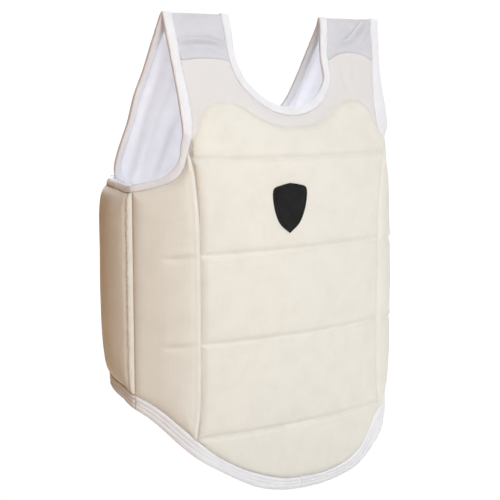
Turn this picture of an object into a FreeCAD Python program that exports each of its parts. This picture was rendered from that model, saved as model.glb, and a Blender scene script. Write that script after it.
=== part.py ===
"""Karate body protector: quilted front, side panels, rear wings, back yoke and elastic bands.

Frame: X to the wearer's left, Y to the back, Z up; the origin is under the middle of the
vest, at the height of the front hem's lowest point. All sizes are in millimetres.
"""
import FreeCAD, Part
import math
import os

Vec = FreeCAD.Vector

# Driving dimensions, and the ones that follow from them: alias, value or formula, what it is.
DIMENSIONS = [
    ("total_height", 580.0, "front hem to the fold over the shoulder"),
    ("half_depth", 110.0, "middle of the front's outer face to the frame's X axis"),
    ("panel_half_width", 131.5, "front panel's edge to the middle"),
    ("seam_x", 139.0, "vertical seam between front and side panel"),
    ("seam_y", -90.0, "vertical seam between front and side panel"),
    ("front_radius", 594.0, "plan radius of the front's outer face"),
    ("peak_radius", 20000.0, "plan radius of the front at shoulder height"),
    ("peak_y", -56.0, "middle of the front's outer face at shoulder height"),
    ("side_angle", 48.0, "side panel's plan angle from the X axis"),
    ("side_start", 4.8, "side panel's front end, from the vertical seam"),
    ("side_end", 76.4, "side panel's rear end, from the vertical seam"),
    ("wing_radius", 149.0, "plan radius of the wing's outer face"),
    ("wing_centre_x", 51.0, "centre of the wing's plan arc"),
    ("wing_centre_y", -2.4, "centre of the wing's plan arc"),
    ("wing_end_angle", 46.0, "wing's rear end, from the X axis"),
    ("wing_bottom", 115.0, "wing's hem"),
    ("wing_top", 382.0, "wing's top edge, under the arm"),
    ("crown", 3.0, "how far padding stands proud of the seams"),
    ("cloth", 1.5, "thickness of a cover or lining"),
    ("gap", 0.3, "clearance between layers"),
    ("foam", 11.9, "thickness of the foam"),
    ("quilt_1", 413.0, "top quilting seam, where the chest leans back"),
    ("quilt_2", 301.0, "second quilting seam"),
    ("quilt_3", 196.0, "third quilting seam"),
    ("quilt_4", 82.0, "lowest quilting seam"),
    ("quilt_gap", 3.0, "width of a quilting channel"),
    ("hem_low_x", 18.0, "the front hem's lowest point, a little to the wearer's left"),
    ("hem_radius", 248.5, "radius of the front hem's edge"),
    ("hem_strip", 16.0, "width of the front's hem binding at its lowest point"),
    ("hem_strip_x", 8.0, "lowest point of the front hem binding's upper edge"),
    ("hem_strip_radius", 201.8, "radius of the front hem binding's upper edge"),
    ("neck_drop", 472.0, "lowest point of the neck opening"),
    ("neck_radius", 69.6, "radius of the neck opening"),
    ("neck_strip", 10.0, "width of the neck binding"),
    ("strap_inner", 69.5, "neck side of the strap at the shoulder"),
    ("strap_outer", 163.0, "arm side of the strap at the shoulder"),
    ("tab_top", 527.0, "join between the cream tab and the white strap"),
    ("tab_rise", 6.5, "how much that join arches up in its middle"),
    ("yoke_slope", 0.6, "how far back the yoke goes for each millimetre down"),
    ("yoke_top_y", -44.5, "yoke's front face at shoulder height"),
    ("yoke_bottom", 350.0, "yoke's hem"),
    ("yoke_neck", 440.0, "lowest point of the yoke's neck opening"),
    ("band_width", 50.0, "width of an elastic band"),
    ("band_thickness", 2.2, "thickness of an elastic band"),
    ("band_y", 108.8, "inner face of the elastic bands"),
    ("band_reach", 130.0, "how far across the back the elastic bands go"),
    ("band_gap", 4.0, "clearance between a band's end and its hook tab"),
    ("lower_band_z", 185.0, "middle of the lower elastic band"),
    ("upper_band_z", 285.0, "middle of the upper elastic band"),
    ("tab_inset", 3.0, "how much a hook tab is narrower than its band, on each side"),
    ("emblem_x", -22.0, "middle of the emblem"),
    ("emblem_z", 352.0, "middle of the emblem"),
    ("emblem_half", 21.0, "half the emblem's width"),
    ("emblem_up", 30.0, "half the emblem's height"),
    # How far below the full outer face each layer starts and ends.
    ("cover_near", 0.0, "cover, outer face"),
    ("cover_far", "=cover_near + cloth", "cover, inner face"),
    ("foam_near", "=cover_far + gap", "foam, outer face"),
    ("foam_far", "=foam_near + foam", "foam, inner face"),
    ("lining_near", "=foam_far + gap", "lining, outer face"),
    ("lining_far", "=lining_near + cloth", "lining, inner face"),
    ("binding_near", 3.0, "binding, outer face"),
    ("binding_far", 12.0, "binding, inner face"),
    ("strap_near", 5.0, "shoulder strap, outer face"),
    ("strap_far", 9.0, "shoulder strap, inner face"),
    ("emblem_near", -1.2, "emblem, outer face"),
    ("emblem_far", -0.2, "emblem, inner face"),
    # Heights of the wing's layers and of the closure.
    ("wing_hem_top", "=wing_bottom + 20", "lower edge of the wing's cover"),
    ("wing_hem_edge", "=wing_hem_top - 1", "upper edge of the wing's hem binding"),
    ("wing_strip", "=wing_top - 8", "upper edge of the wing's cover"),
    ("wing_strip_edge", "=wing_strip + 1", "lower edge of the wing's top binding"),
    ("wing_pad_low", "=wing_hem_top + quilt_gap / 2", "lower edge of the wing's foam"),
    ("wing_pad_high", "=wing_strip - quilt_gap / 2", "upper edge of the wing's foam"),
    ("upper_band_low", "=upper_band_z - band_width / 2", "upper band's lower edge"),
    ("upper_band_high", "=upper_band_z + band_width / 2", "upper band's upper edge"),
    ("lower_band_low", "=lower_band_z - band_width / 2", "lower band's lower edge"),
    ("lower_band_high", "=lower_band_z + band_width / 2", "lower band's upper edge"),
    ("upper_tab_low", "=upper_band_low + tab_inset", "upper tab's lower edge"),
    ("upper_tab_high", "=upper_band_high - tab_inset", "upper tab's upper edge"),
    ("lower_tab_low", "=lower_band_low + tab_inset", "lower tab's lower edge"),
    ("lower_tab_high", "=lower_band_high - tab_inset", "lower tab's upper edge"),
    ("yoke_low", "=yoke_bottom - 20", "where the yoke's sheet ends before it is trimmed"),
]

doc = FreeCAD.newDocument("chest_protector")
sheet = doc.addObject("Spreadsheet::Sheet", "sizes")
for row, (alias, value, meaning) in enumerate(DIMENSIONS, start=1):
    sheet.set(f"A{row}", meaning)
    sheet.set(f"B{row}", str(value))
    sheet.setAlias(f"B{row}", alias)
doc.recompute()


def size(alias):
    return float(getattr(sheet, alias))


def layer_depths(layer):
    return size(f"{layer}_near"), size(f"{layer}_far")


THREAD_GAP = 0.6
TRIM_REACH = 900.0
SHEET_HALF = 175.0
SIDES = (("right", -1), ("left", 1))


# --- sketches -------------------------------------------------------------------------------

def new_body(name):
    body = doc.addObject("PartDesign::Body", name)
    body.Label = name
    return body


def new_sketch(body, name, role, edges, offset=None):
    """A sketch on a plane of its body; offset is the expression of its height above it."""
    sketch = body.newObject("Sketcher::SketchObject", name)
    plane = next(f for f in body.Origin.OriginFeatures if f.Role == role)
    sketch.AttachmentSupport = [(plane, "")]
    sketch.MapMode = "FlatFace"
    if offset:
        sketch.setExpression("AttachmentOffset.Base.z", offset)
    for edge in edges:
        sketch.addGeometry(edge)
    return sketch


def line(start, end):
    return Part.LineSegment(Vec(*start, 0), Vec(*end, 0))


def arc(start, middle, end):
    return Part.Arc(Vec(*start, 0), Vec(*middle, 0), Vec(*end, 0))


def curve(points):
    spline = Part.BSplineCurve()
    spline.interpolate([Vec(*p, 0) for p in points])
    return spline


def closed(pieces):
    """Edges from a list of point lists: 2 points are a line, 3 an arc, more a smooth curve.

    A piece starts where the one before it ended; straight lines close the outline.
    """
    edges = []
    for number, points in enumerate(pieces):
        following = pieces[(number + 1) % len(pieces)][0]
        if len(points) == 2:
            edges.append(line(*points))
        elif len(points) == 3:
            edges.append(arc(*points))
        else:
            edges.append(curve(points))
        if math.dist(points[-1], following) > 1e-6:
            edges.append(line(points[-1], following))
    return edges


def mirrored(pieces):
    """A half outline, up the wearer's left side to the top middle, made whole."""
    other = [[(-x, z) for x, z in reversed(points)] for points in reversed(pieces)]
    return pieces + other


def flipped(pieces, side):
    return [[(side * x, z) for x, z in points] for points in pieces]


def rectangle(x0, z0, x1, z1):
    return [[(x0, z0), (x1, z0)], [(x1, z1), (x0, z1)]]


# --- solids ---------------------------------------------------------------------------------

def pad(body, sketch, length):
    """Pads a sketch; length is an expression over the sizes."""
    feature = body.newObject("PartDesign::Pad", sketch.Name + "_pad")
    feature.Profile = sketch
    feature.setExpression("Length", length)
    return feature


def place(body, **expressions):
    """Binds parts of a body's placement, such as Base_x, to expressions over the sizes."""
    for part, expression in expressions.items():
        body.setExpression("Placement." + part.replace("_", "."), expression)


def trim_to(body, name, pieces):
    """Cuts away everything outside an outline drawn on the body's upright plane."""
    doc.recompute()
    before = body.Shape.Volume
    reach = TRIM_REACH
    edges = closed(pieces) + closed(rectangle(-reach, -reach, reach, reach))
    sketch = new_sketch(body, name + "_outline", "XZ_Plane", edges)
    pocket = body.newObject("PartDesign::Pocket", name + "_trim")
    pocket.Profile = sketch
    pocket.Type = "ThroughAll"
    pocket.SideType = "Symmetric"
    doc.recompute()
    if not 0 < body.Shape.Volume < before:
        raise RuntimeError(f"{name}: the outline trims nothing")
    return pocket


def plan_arc(radius, front, half):
    """Points of a front section's arc: its middle is at Y = front, and it bows forward."""
    edge = front + radius - math.sqrt(radius ** 2 - half ** 2)
    return (-half, edge), (0.0, front), (half, edge)


def plan_section(radius, front, depths):
    outer = plan_arc(radius - depths[0], front + depths[0], SHEET_HALF)
    inner = plan_arc(radius - depths[1], front + depths[1], SHEET_HALF)
    return [list(outer), list(reversed(inner))]


def front_piece(name, layer, outline, upright=True, leaning=True):
    """A layer of the front: upright up to the top quilting seam, leaning back above it."""
    body = new_body(name)
    depths = layer_depths(layer)
    low = closed(plan_section(size("front_radius"), -size("half_depth"), depths))
    high = closed(plan_section(size("peak_radius"), size("peak_y"), depths))
    if upright:
        pad(body, new_sketch(body, name + "_plan", "XY_Plane", low), "sizes.quilt_1")
    if leaning:
        doc.recompute()
        start = new_sketch(body, name + "_bend", "XY_Plane", low, "sizes.quilt_1")
        end = new_sketch(body, name + "_peak", "XY_Plane", high, "sizes.total_height")
        loft = body.newObject("PartDesign::AdditiveLoft", name + "_lean")
        loft.Profile = start
        loft.Sections = [end]
        loft.Ruled = True
    trim_to(body, name, outline)
    return body


def side_piece(name, side, layer, outline):
    """A layer of a side panel; its X is the distance back from the vertical seam."""
    body = new_body(name)
    # The upright plane's normal is -Y, which is this panel's outward direction.
    sketch = new_sketch(body, name + "_outline", "XZ_Plane", closed(flipped(outline, side)),
                        f"sizes.crown - sizes.{layer}_far")
    pad(body, sketch, f"sizes.{layer}_far - sizes.{layer}_near")
    body.Placement = FreeCAD.Placement(Vec(), FreeCAD.Rotation(Vec(0, 0, side), size("side_angle")))
    place(body, Base_x=f"{side} * sizes.seam_x", Base_y="sizes.seam_y",
          Rotation_Angle="sizes.side_angle")
    return body


def polar(radius, degrees):
    turn = math.radians(degrees)
    return radius * math.cos(turn), radius * math.sin(turn)


def wing_piece(name, side, radii, angles, bottom, top):
    """A sector of the wing: radii and angles are about the centre of its plan arc.

    Bottom and top are the names of sizes.
    """
    body = new_body(name)
    (inner, outer), (start_in, start_out, end) = radii, angles
    middle_out = (start_out + end) / 2
    middle_in = (start_in + end) / 2
    pieces = [
        [polar(outer, start_out), polar(outer, middle_out), polar(outer, end)],
        [polar(inner, end), polar(inner, middle_in), polar(inner, start_in)],
    ]
    sketch = new_sketch(body, name + "_plan", "XY_Plane", closed(flipped(pieces, side)),
                        f"sizes.{bottom}")
    pad(body, sketch, f"sizes.{top} - sizes.{bottom}")
    place(body, Base_x=f"{side} * sizes.wing_centre_x", Base_y="sizes.wing_centre_y")
    return body


def slanted_piece(name, outline, depths):
    """A layer of the yoke, which slants down and back from the shoulders."""
    body = new_body(name)
    sections = []
    for height, bow in (("total_height", 4.0), ("yoke_low", 14.0)):
        drop = size("total_height") - size(height)
        back = size("yoke_top_y") + drop * size("yoke_slope")
        faces = []
        for depth in depths:
            edge, middle = back + depth, back + depth + bow
            faces.append([(-SHEET_HALF, edge), (0.0, middle), (SHEET_HALF, edge)])
        plan = closed([faces[0], list(reversed(faces[1]))])
        sections.append(new_sketch(body, f"{name}_{height}", "XY_Plane", plan, f"sizes.{height}"))
    loft = body.newObject("PartDesign::AdditiveLoft", name + "_sheet")
    loft.Profile = sections[0]
    loft.Sections = sections[1:]
    loft.Ruled = True
    trim_to(body, name, outline)
    return body


def box_piece(name, low, high, bottom, top):
    """A block: low and high are its plan corners, bottom and top the names of sizes."""
    body = new_body(name)
    plan = closed(rectangle(*low, *high))
    sketch = new_sketch(body, name + "_plan", "XY_Plane", plan, f"sizes.{bottom}")
    pad(body, sketch, f"sizes.{top} - sizes.{bottom}")
    return body


# --- the front ------------------------------------------------------------------------------

HALF = size("panel_half_width")
TOP = size("total_height")
TAB = size("tab_top")
NECK_Z = size("neck_drop")
NECK_R = size("neck_radius")
NECK_OUT = NECK_R + size("neck_strip")
TAB_RISE = size("tab_rise")
ARM_BOTTOM = 436.0


def shallow_arc(half, low_x, low_z, radius):
    """An arc from one side of the front to the other, by its lowest point and its radius."""
    ends = [low_z + radius - math.sqrt(radius ** 2 - (x - low_x) ** 2) for x in (-half, half)]
    return [(-half, ends[0]), (low_x, low_z), (half, ends[1])]


def hem_edge(half):
    return shallow_arc(half, size("hem_low_x"), 0.0, size("hem_radius"))


def hem_seam(half, lift=0.0):
    low_z = size("hem_strip") + lift
    return shallow_arc(half, size("hem_strip_x"), low_z, size("hem_strip_radius"))


def neck_point(degrees, radius):
    """A point of the neck's round bottom, degrees from straight down."""
    x, drop = polar(radius, degrees - 90)
    return x, NECK_Z + NECK_R + drop


def neck_arc(radius):
    return [neck_point(63, radius), neck_point(32, radius), neck_point(0, radius)]


def upper_chest_hump():
    """The padding's top edge: a hump under each strap and a dip under the neck."""
    return [(129.5, 434.0), (134.0, 452.0), (125.0, 472.0), (104.0, 482.0),
            (80.0, 480.0), (55.0, 464.0), (28.0, 455.0), (0.0, 453.0)]


def shield_outline():
    x, z = size("emblem_x"), size("emblem_z")
    half, up = size("emblem_half"), size("emblem_up")
    shoulder, waist = z + 0.85 * up, z - 0.38 * up
    return [[(x - half, shoulder), (x, z + up), (x + half, shoulder)],
            [(x + half, shoulder), (x + 0.88 * half, waist), (x, z - up)],
            [(x, z - up), (x - 0.88 * half, waist), (x - half, shoulder)]]


def build_front():
    cover_outline = [hem_seam(HALF)] + mirrored([
        [(HALF, 420.0), (HALF, 434.0)],
        [(142.0, 439.0), (140.5, 480.0), (145.0, TAB)],
        [(145.0, TAB), (110.5, TAB + TAB_RISE), (76.0, TAB)],
        neck_arc(NECK_OUT + 1),
    ])
    for layer in ("cover", "lining"):
        front_piece(f"front_{layer}", layer, cover_outline)

    channel = size("quilt_gap") / 2
    inset = HALF - channel
    seams = [size(f"quilt_{number}") for number in (1, 2, 3, 4)]
    names = ("chest_pad", "rib_pad", "belly_pad")
    for name, top, bottom in zip(names, seams, seams[1:]):
        block = rectangle(-inset, bottom + channel, inset, top - channel)
        front_piece(name, "foam", block, leaning=False)
    apron = [hem_seam(inset, channel), [(inset, seams[3] - channel), (-inset, seams[3] - channel)]]
    front_piece("apron_pad", "foam", apron, leaning=False)
    upper_chest = mirrored([[(0.0, seams[0] + channel), (inset, seams[0] + channel)],
                            upper_chest_hump()])
    front_piece("upper_chest_pad", "foam", upper_chest, upright=False)

    hem_strip = [hem_edge(HALF), list(reversed(hem_seam(HALF, -1.0)))]
    front_piece("front_hem_binding", "binding", hem_strip, leaning=False)
    front_piece("neck_binding", "binding", mirrored([
        list(reversed(neck_arc(NECK_OUT))),
        [(75.0, TAB), (65.0, TAB)],
        neck_arc(NECK_R)]), upright=False)
    front_piece("chest_emblem", "emblem", shield_outline(), leaning=False)

    for label, side in SIDES:
        front_piece(f"front_armhole_binding_{label}", "binding", flipped([
            [(144.0, ARM_BOTTOM), (143.0, 445.0), (141.5, 480.0), (146.0, TAB)],
            [(146.0, TAB), (158.5, TAB)],
            [(158.5, TAB), (154.5, 476.0), (157.0, ARM_BOTTOM)]], side), upright=False)
        front_piece(f"shoulder_strap_{label}", "strap", flipped([
            [(65.5, TAB + THREAD_GAP), (112.0, TAB + TAB_RISE + 1.5), (158.5, TAB + THREAD_GAP)],
            [(size("strap_outer"), TOP), (size("strap_inner"), TOP)]], side), upright=False)


# --- the sides ------------------------------------------------------------------------------

def build_sides():
    start, end = size("side_start"), size("side_end")
    arm_low = [(9.0, 432.0), (17.0, 400.0), (43.0, 382.0)]
    hem_high = [(start, 84.0), (40.0, 116.0), (end, 136.0)]
    panel = [hem_high,
             [(end, 136.0), (end, 373.5)],
             list(reversed(arm_low)),
             [(9.0, 432.0), (start, 432.0)]]
    inset = [[(start + 1, 86.0), (40.5, 118.0), (end - 1, 138.0)],
             [(end - 1, 138.0), (end - 1, 372.0)],
             [(43.0, 380.0), (15.5, 400.0), (8.0, 428.0)],
             [(8.0, 428.0), (start + 1, 428.0)]]
    arm_binding = [[(end, 374.5), (end, 383.0)],
                   [(46.0, 388.0), (27.0, 406.0), (20.0, 432.0)],
                   [(10.0, 432.0), (18.0, 401.0), (43.5, 383.0)]]
    # The front's hem hangs lower on the wearer's left, and the side's hem meets it there.
    hem_low = {"right": [(start, 60.0), (40.0, 91.0), (end, 112.0)],
               "left": [(start, 38.0), (40.0, 80.0), (end, 110.0)]}
    hem_strip = [(end, 135.0), (40.0, 115.0), (start, 83.0)]
    for label, side in SIDES:
        side_piece(f"side_cover_{label}", side, "cover", panel)
        side_piece(f"side_pad_{label}", side, "foam", inset)
        side_piece(f"side_lining_{label}", side, "lining", panel)
        side_piece(f"side_armhole_binding_{label}", side, "binding", arm_binding)
        side_piece(f"side_hem_binding_{label}", side, "binding", [hem_low[label], hem_strip])


# --- the wings ------------------------------------------------------------------------------

def build_wings():
    end = size("wing_end_angle")
    start_in, start_out = -8.0, -6.0
    edge_width = 4.5
    whole = (start_in, start_out, end - edge_width)
    inset = (start_in + 0.6, start_out + 0.6, end - edge_width - 0.6)
    back = (end - edge_width + 0.4, end - edge_width + 0.4, end)
    pieces = [
        ("wing_cover", "cover", whole, "wing_hem_top", "wing_strip"),
        ("wing_pad", "foam", inset, "wing_pad_low", "wing_pad_high"),
        ("wing_lining", "lining", whole, "wing_hem_top", "wing_strip"),
        ("wing_hem_binding", "binding", whole, "wing_bottom", "wing_hem_edge"),
        ("wing_top_binding", "binding", whole, "wing_strip_edge", "wing_top"),
        ("wing_end_binding", "binding", back, "wing_bottom", "wing_top"),
    ]
    for label, side in SIDES:
        for name, layer, angles, bottom, top in pieces:
            outer, inner = (size("wing_radius") - depth for depth in layer_depths(layer))
            wing_piece(f"{name}_{label}", side, (inner, outer), angles, bottom, top)


# --- the yoke -------------------------------------------------------------------------------

def build_yoke():
    bottom, neck_low = size("yoke_bottom"), size("yoke_neck")
    inner, outer = size("strap_inner"), size("strap_outer")
    top = TOP - 3.0
    strip = 9.0

    def neck(shift):
        return [(inner + shift, top), (74.0 + shift, neck_low + 100), (72.0 + shift, neck_low + 45),
                (56.0 + shift * 0.7, neck_low + 15 - shift * 0.8),
                (30.0 + shift * 0.3, neck_low + 3 - shift), (10.0, neck_low - shift),
                (0.0, neck_low - shift)]

    def flank(shift):
        return [(outer - shift, 390.0 + shift * 0.4), (outer - shift, top)]

    def corner(shift, rise=0.0):
        end = (140.0 - shift, 374.0 + rise)
        return [(112.0, bottom + shift), (133.0 - shift * 0.3, bottom + 12 + shift * 0.6), end]

    slanted_piece("yoke_panel", mirrored([
        [(0.0, bottom + strip), (112.0, bottom + strip)],
        corner(strip + 0.6, 5.0), flank(strip), neck(strip)]), (0.0, 2.5))
    slanted_piece("yoke_neck_binding", mirrored([
        list(reversed(neck(strip - 0.6))), neck(0.0)]), (-0.7, 3.2))
    slanted_piece("yoke_hem_binding", mirrored([
        [(0.0, bottom), (112.0, bottom)],
        corner(0.0),
        list(reversed(corner(strip - 0.6))),
        [(112.0, bottom + strip - 0.6), (0.0, bottom + strip - 0.6)]]), (-0.7, 3.2))
    for label, side in SIDES:
        slanted_piece(f"yoke_armhole_binding_{label}", flipped([
            [(140.6, 375.4), (outer, 390.0)],
            [(outer, top), (outer - strip + 0.6, top)],
            [(outer - strip + 0.6, 391.5), (132.0, 376.5)]], side), (-0.7, 3.2))


# --- the closure ----------------------------------------------------------------------------

def hook_tab(level, radii, angles):
    """Lies on the left wing's loop patch, then bridges back to the end of its band."""
    body = new_body(f"{level}_hook_tab")
    (inner, outer), (tip, root) = radii, angles
    middle = (tip + root) / 2
    inside = size("band_y") - size("wing_centre_y")
    outside = inside + size("band_thickness")
    band_end = size("band_reach") + size("band_gap") - size("wing_centre_x")
    bend = band_end + 14
    pieces = [
        [polar(outer, tip), polar(outer, middle), polar(outer, root)],
        [(bend, outside), (band_end, outside)],
        [(band_end, inside), (bend, inside)],
        [polar(inner, root), polar(inner, middle), polar(inner, tip)],
    ]
    sketch = new_sketch(body, f"{level}_tab_plan", "XY_Plane", closed(pieces),
                        f"sizes.{level}_tab_low")
    pad(body, sketch, f"sizes.{level}_tab_high - sizes.{level}_tab_low")
    place(body, Base_x="sizes.wing_centre_x", Base_y="sizes.wing_centre_y")
    return body


def build_closure():
    radius = size("wing_radius")
    end = size("wing_end_angle")
    inside = size("band_y")
    outside = inside + size("band_thickness")
    lining = radius - size("lining_far")
    anchor = (lining - 1.7, lining - 0.5)
    loop = (radius + 0.3, radius + 1.5)
    tab = (radius + 1.9, radius + 3.5)
    for level in ("upper", "lower"):
        edges = (f"{level}_band_low", f"{level}_band_high")
        box_piece(f"{level}_elastic_band", (-146.0, inside), (size("band_reach"), outside), *edges)
        wing_piece(f"{level}_band_anchor_patch", -1, anchor, (30.0, 30.0, end - 5), *edges)
        wing_piece(f"{level}_loop_patch", 1, loop, (14.0, 14.0, end - 4), *edges)
        hook_tab(level, tab, (20.0, end - 2))


build_front()
build_sides()
build_wings()
build_yoke()
build_closure()
doc.recompute()

bodies = [o for o in doc.Objects if o.TypeId == "PartDesign::Body"]
for item in doc.Objects:
    if {"Invalid", "Error"} & set(item.State):
        raise RuntimeError(f"{item.Label} is in the state {item.State}")
for body in bodies:
    if body.Shape.isNull() or not body.Shape.isValid() or len(body.Shape.Solids) != 1:
        raise RuntimeError(f"{body.Label} has no single valid solid")

os.makedirs("parts", exist_ok=True)
for body in bodies:
    body.Shape.exportStep(f"parts/{body.Label}.step")
print(len(bodies), "pieces written")
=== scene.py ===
import math

import bmesh
import bpy
import numpy as np
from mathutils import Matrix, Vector, geometry, noise


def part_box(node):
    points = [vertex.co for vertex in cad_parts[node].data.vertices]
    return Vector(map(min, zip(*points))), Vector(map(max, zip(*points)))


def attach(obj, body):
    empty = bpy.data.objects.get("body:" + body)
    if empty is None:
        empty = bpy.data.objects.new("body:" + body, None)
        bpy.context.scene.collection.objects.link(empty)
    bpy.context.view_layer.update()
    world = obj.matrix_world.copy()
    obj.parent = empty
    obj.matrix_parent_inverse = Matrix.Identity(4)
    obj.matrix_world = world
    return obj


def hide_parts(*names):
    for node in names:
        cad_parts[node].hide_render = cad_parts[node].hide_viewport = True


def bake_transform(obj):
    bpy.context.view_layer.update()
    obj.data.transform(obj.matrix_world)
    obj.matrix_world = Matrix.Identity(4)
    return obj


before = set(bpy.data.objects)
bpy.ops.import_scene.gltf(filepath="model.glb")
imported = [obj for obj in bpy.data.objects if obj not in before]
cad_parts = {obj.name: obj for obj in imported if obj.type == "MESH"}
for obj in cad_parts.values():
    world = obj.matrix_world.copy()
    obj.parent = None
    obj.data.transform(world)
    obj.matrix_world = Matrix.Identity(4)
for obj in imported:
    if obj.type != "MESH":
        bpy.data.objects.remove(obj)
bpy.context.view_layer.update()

MM = 0.001
CAMERA_TURN, CAMERA_TILT = math.radians(35.7), math.radians(8.4)
LEFT, RIGHT = 1, -1
SIDES = (("right", RIGHT), ("left", LEFT))


# --- places taken from the frame ---

def low(node):
    return np.array(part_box(node)[0])


def high(node):
    return np.array(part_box(node)[1])


def between(upper, lower):
    return (low(upper)[2] + high(lower)[2]) / 2


PADS = ("upper_chest_pad", "chest_pad", "rib_pad", "belly_pad", "apron_pad")
QUILT_Z = [between(upper, lower) for upper, lower in zip(PADS, PADS[1:])]
FRONT_Y = low("front_cover")[1]
PEAK_Z = high("shoulder_strap_left")[2]
TAB_Z = high("front_cover")[2]
SEAM_X = high("front_hem_binding")[0] + 7.5 * MM
WING_R = 149 * MM
WING_X = high("wing_cover_left")[0] - WING_R
WING_Y = -2.4 * MM
WING_LOW = low("wing_hem_binding_left")[2]
WING_HIGH = high("wing_top_binding_left")[2]
BAND_Y = (low("upper_elastic_band")[1] + high("upper_elastic_band")[1]) / 2
BAND_END_X = high("upper_elastic_band")[0]
YOKE_LOW = low("yoke_hem_binding")[2]
YOKE_SLOPE = 0.6

FRONT_R = 594 * MM
PEAK_BOW = 2.66         # the shoulder line bows forward by x squared over twice this
LEAN = 56.5 * MM
SIDE_TURN = math.radians(48)
SIDE_LONG = 80.7 * MM
FOLD_S = SEAM_X + SIDE_LONG
WING_LONG = math.radians(46 + 10.3) * WING_R
WING_SEAM_END = WING_LONG - 10 * MM
DITCH = 5.0 * MM        # how deep a seam lies below the full padding
CORE = -6.5 * MM        # the level where cover and lining are sewn together
WEB = 1.5 * MM          # half the thickness of cloth and flat foam at a seam
THICK = 15.8 * MM       # the padding's full thickness
HEM_BAND, TOP_BAND = 20 * MM, 9 * MM
FOLD_RIDGE = 4.2 * MM   # how far behind the fold seam its raised, stitched ridge runs
FINE = 2.4 * MM


# --- the surfaces that cloth lies on ---

def arrays(*values):
    return np.broadcast_arrays(*(np.asarray(value, float) for value in values))


def unit(vectors):
    return vectors / np.linalg.norm(vectors, axis=-1, keepdims=True)


def ramp(value, width):
    """0 below, then rising like value, with a smooth knee."""
    return width * np.logaddexp(0.0, value / width)


def smooth(value, start, end):
    share = np.clip((np.asarray(value, float) - start) / (end - start), 0, 1)
    return share * share * (3 - 2 * share)


def peak(distance, width):
    """A bell: 1 where the distance is 0, then fading over the width."""
    return np.exp(-(distance / width) ** 2)


def front_surface(x, z, lift):
    """The front: x across, z up, lift out from its full outer face."""
    x, z, lift = arrays(x, z, lift)
    rise = PEAK_Z - QUILT_Z[0]
    knee = 4 * MM
    share = ramp(z - QUILT_Z[0], knee) / rise
    turning = 1 / (1 + np.exp(-(z - QUILT_Z[0]) / knee)) / rise
    root = np.sqrt(FRONT_R ** 2 - x ** 2)
    y_low = FRONT_Y + FRONT_R - root
    y_high = FRONT_Y + LEAN - x ** 2 / (2 * PEAK_BOW)
    y = y_low + (y_high - y_low) * share
    normal = np.stack([(1 - share) * x / root - share * x / PEAK_BOW,
                       -np.ones_like(x), (y_high - y_low) * turning], -1)
    return np.stack([x, y, z], -1) + unit(normal) * lift[..., None]


def side_surface(u, z, lift, bulge=2 * MM):
    """The left side panel: u back from its front seam, z up, lift out from its outer face."""
    u, z, lift, bulge = arrays(u, z, lift, bulge)
    start = front_surface(SEAM_X, z, -DITCH)
    along = np.array([math.cos(SIDE_TURN), math.sin(SIDE_TURN), 0])
    out = np.array([math.sin(SIDE_TURN), -math.cos(SIDE_TURN), 0])
    bow = bulge * np.sin(np.pi * np.clip(u / SIDE_LONG, 0, 1) ** 0.7)
    points = start + along * u[..., None] + out * (lift + DITCH + bow)[..., None]
    points[..., 2] = z
    return points


def wing_surface(a, z, lift):
    """The left wing: a back along its arc from the fold seam, z up, lift out from its face."""
    a, z, lift = arrays(a, z, lift)
    centre = np.array([WING_X, WING_Y])
    start = side_surface(SIDE_LONG, QUILT_Z[2], -DITCH)[:2] - centre
    slip = np.linalg.norm(start) - (WING_R - DITCH)
    to_top = np.maximum(WING_HIGH - TOP_BAND - z, 0)
    to_hem = np.maximum(z - WING_LOW - HEM_BAND, 0)
    droop = 4 * MM * np.exp(-to_top / (14 * MM)) + 6.5 * MM * np.exp(-to_hem / (30 * MM))
    droop = droop + 0.4 * np.maximum(z - WING_HIGH + TOP_BAND, 0)
    angle = math.atan2(start[1], start[0]) + a / WING_R
    radius = WING_R + lift + slip * np.exp(-np.maximum(a, 0) / (12 * MM))
    radius = radius - droop * np.clip(a / (30 * MM), 0, 1)
    return np.stack([centre[0] + radius * np.cos(angle),
                     centre[1] + radius * np.sin(angle), z], -1)


def around(s, z, lift):
    """The whole padded body: s is the girth from the middle of the front, to either side."""
    s, z, lift = arrays(s, z, lift)
    mirror = np.stack([np.where(s < 0, -1.0, 1.0), np.ones_like(s), np.ones_like(s)], -1)
    girth = np.abs(s)
    front = front_surface(girth, z, lift)
    above = smooth(z, 430 * MM, 446 * MM)[..., None]
    bulge = np.where(s > 0, 8 * MM + 3 * MM * smooth(z, 380 * MM, 250 * MM), 2 * MM)
    panel = side_surface(girth - SEAM_X, z, lift, bulge) * (1 - above) + front * above
    wing = wing_surface(girth - FOLD_S, z, lift)
    points = np.where((girth > SEAM_X)[..., None], panel, front)
    return np.where((girth > FOLD_S)[..., None], wing, points) * mirror


def drape_surface(x, run, rise):
    """Strap and yoke: run is the length of cloth past the shoulder fold, negative in front."""
    x, run, rise = arrays(x, run, rise)
    fold = 5.0 * MM
    front = front_surface(x, PEAK_Z, CORE)[..., 1]
    front_slope = (front - front_surface(x, TAB_Z, CORE)[..., 1]) / (PEAK_Z - TAB_Z)
    front_fall = 1 / np.sqrt(1 + front_slope ** 2)
    back_fall = 1 / math.sqrt(1 + YOKE_SLOPE ** 2)
    ahead, behind = ramp(-run, fold / 2), ramp(run, fold / 2)
    bow = 10 * MM * behind / (260 * MM) + 4 * MM
    bow = bow * (1 - (x / (175 * MM)) ** 2) * np.tanh(behind / (30 * MM))
    y = front - ahead * front_fall * front_slope + behind * back_fall * YOKE_SLOPE + bow
    z = PEAK_Z + 1.8 * MM - ahead * front_fall - behind * back_fall
    share = 0.5 + 0.5 * np.tanh(run / fold)
    ny = -(1 - share) * front_fall + share * back_fall
    nz = (1 - share) * front_fall * front_slope + share * back_fall * YOKE_SLOPE
    size = np.sqrt(ny ** 2 + nz ** 2)
    return np.stack([x, y + ny / size * rise, z + nz / size * rise], -1)


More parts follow.
